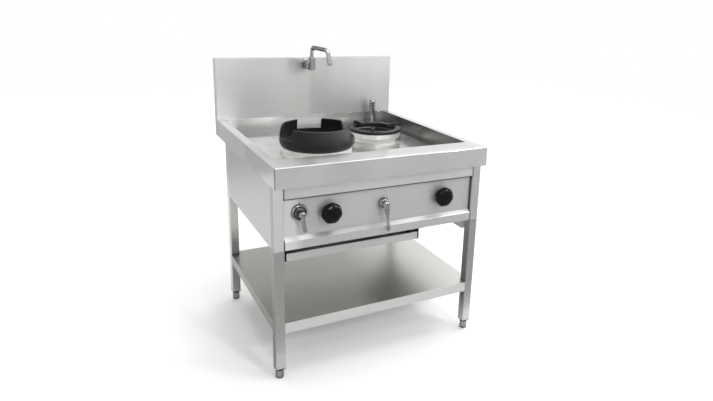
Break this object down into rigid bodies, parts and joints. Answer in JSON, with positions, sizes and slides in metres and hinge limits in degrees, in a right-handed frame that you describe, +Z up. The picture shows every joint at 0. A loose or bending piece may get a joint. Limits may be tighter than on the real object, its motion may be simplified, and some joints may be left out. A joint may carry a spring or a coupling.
{
  "type": "gas wok range",
  "caption": "Free-standing stainless gas range with a sunk rinsed deck, wok ring, pan support, lever valves, swing tap on a backsplash, drip tray and undershelf.",
  "frame": {"origin": "on the floor under the middle of the deck, in width and depth", "axes": "+Z up; +X to the right of a cook who faces the controls; the controls face -Y"},
  "size_m": [0.9, 0.93, 1.2017],
  "materials": {
    "frame_steel": "brushed stainless tube",
    "panel_steel": "brushed stainless sheet",
    "deck_steel": "satin stainless sheet",
    "shelf_steel": "brushed stainless sheet",
    "foot_plastic": "dark moulded cap",
    "foot_steel": "satin turned",
    "ring_iron": "matt black casting",
    "burner_iron": "grey casting",
    "knob_plastic": "gloss black",
    "tap_chrome": "bright plate",
    "spout_steel": "satin tube",
    "valve_brass": "machined brass",
    "gas_steel": "painted steel pipe",
    "water_copper": "copper tube",
    "bolt_steel": "stainless screws"
  },
  "bodies": {
    "range": {"leg_front_left": "frame_steel", "leg_front_right": "frame_steel", "leg_rear_left": "frame_steel", "leg_rear_right": "frame_steel", "leg_end_caps": "foot_plastic", "undershelf": "shelf_steel", "side_panel_left": "panel_steel", "side_panel_right": "panel_steel", "back_panel": "panel_steel", "front_rail": "panel_steel", "control_panel": "panel_steel", "pipe_duct": "panel_steel", "burner_rails": "frame_steel", "deck_pan": "deck_steel", "backsplash": "deck_steel", "backsplash_cover": "panel_steel", "cover_screws": "bolt_steel", "tray_runners": "frame_steel", "mixing_tubes": "burner_iron", "gas_injectors": "valve_brass", "burner_gas_pipes": "water_copper", "pilot_burners": "valve_brass", "thermocouples": "water_copper", "gas_manifold": "gas_steel", "gas_supply_pipe": "gas_steel", "water_valves": "valve_brass", "water_manifold": "water_copper", "rinse_escutcheon": "tap_chrome", "tap_lever_boss": "tap_chrome", "rinse_feed_pipe": "water_copper", "tap_feed_pipe": "water_copper", "rinse_pipe": "spout_steel", "drain_outlet": "deck_steel", "tap_body": "tap_chrome", "tap_nut": "tap_chrome", "burner_collar_left": "deck_steel", "fire_bowl_left": "burner_iron", "burner_head_left": "burner_iron", "gas_valve_left": "valve_brass", "burner_collar_right": "deck_steel", "fire_bowl_right": "burner_iron", "burner_head_right": "burner_iron", "gas_valve_right": "valve_brass"},
    "foot_front_left": {"foot_front_left": "foot_steel"},
    "foot_front_right": {"foot_front_right": "foot_steel"},
    "foot_rear_left": {"foot_rear_left": "foot_steel"},
    "foot_rear_right": {"foot_rear_right": "foot_steel"},
    "drip_tray": {"drip_tray": "panel_steel"},
    "stem_left": {"valve_stem_left": "valve_brass"},
    "stem_right": {"valve_stem_right": "valve_brass"},
    "knob_left": {"knob_left": "knob_plastic"},
    "knob_right": {"knob_right": "knob_plastic"},
    "rinse_lever": {"rinse_lever": "tap_chrome"},
    "tap_lever": {"tap_lever": "tap_chrome"},
    "spout": {"tap_spout": "spout_steel"},
    "wok_ring": {"wok_ring": "ring_iron"},
    "pan_support": {"pan_support": "ring_iron"},
    "burner_cap_left": {"burner_cap_left": "burner_iron"},
    "burner_cap_right": {"burner_cap_right": "burner_iron"},
    "drain_strainer": {"drain_strainer": "deck_steel"}
  },
  "joints": [
    {"name": "foot_front_left_height", "type": "slide", "parent": "range", "child": "foot_front_left", "axis": [0, 0, -1], "range_m": [0, 0.025]},
    {"name": "foot_front_right_height", "type": "slide", "parent": "range", "child": "foot_front_right", "axis": [0, 0, -1], "range_m": [0, 0.025]},
    {"name": "foot_rear_left_height", "type": "slide", "parent": "range", "child": "foot_rear_left", "axis": [0, 0, -1], "range_m": [0, 0.025]},
    {"name": "foot_rear_right_height", "type": "slide", "parent": "range", "child": "foot_rear_right", "axis": [0, 0, -1], "range_m": [0, 0.025]},
    {"name": "drip_tray_pull", "type": "slide", "parent": "range", "child": "drip_tray", "axis": [0, -1, 0], "range_m": [0, 0.5]},
    {"name": "gas_valve_left_turn", "type": "hinge", "parent": "range", "child": "stem_left", "pos_m": [-0.229, -0.418, 0.651], "axis": [0, -1, 0], "range_deg": [0, 270]},
    {"name": "knob_left_push", "type": "slide", "parent": "stem_left", "child": "knob_left", "axis": [0, 1, 0], "range_m": [0, 0.003], "stiffness_N_per_m": 1000, "springref_m": -0.005},
    {"name": "gas_valve_right_turn", "type": "hinge", "parent": "range", "child": "stem_right", "pos_m": [0.265, -0.418, 0.651], "axis": [0, -1, 0], "range_deg": [0, 270]},
    {"name": "knob_right_push", "type": "slide", "parent": "stem_right", "child": "knob_right", "axis": [0, 1, 0], "range_m": [0, 0.003], "stiffness_N_per_m": 1000, "springref_m": -0.005},
    {"name": "rinse_lever_turn", "type": "hinge", "parent": "range", "child": "rinse_lever", "pos_m": [-0.346, -0.418, 0.663], "axis": [0, -1, 0], "range_deg": [0, 90]},
    {"name": "tap_lever_turn", "type": "hinge", "parent": "range", "child": "tap_lever", "pos_m": [-0.005, -0.418, 0.656], "axis": [0, -1, 0], "range_deg": [0, 90]},
    {"name": "spout_swing", "type": "hinge", "parent": "range", "child": "spout", "pos_m": [-0.02, 0.317, 1.136], "axis": [0, 0, 1], "range_deg": [-95, 95]},
    {"name": "wok_ring_lift", "type": "slide", "parent": "range", "child": "wok_ring", "axis": [0, 0, 1], "range_m": [0, 0.15]},
    {"name": "pan_support_lift", "type": "slide", "parent": "range", "child": "pan_support", "axis": [0, 0, 1], "range_m": [0, 0.1]},
    {"name": "burner_cap_left_lift", "type": "slide", "parent": "range", "child": "burner_cap_left", "axis": [0, 0, 1], "range_m": [0, 0.18]},
    {"name": "burner_cap_right_lift", "type": "slide", "parent": "range", "child": "burner_cap_right", "axis": [0, 0, 1], "range_m": [0, 0.18]},
    {"name": "drain_strainer_lift", "type": "slide", "parent": "range", "child": "drain_strainer", "axis": [0, 0, 1], "range_m": [0, 0.12]}
  ]
}
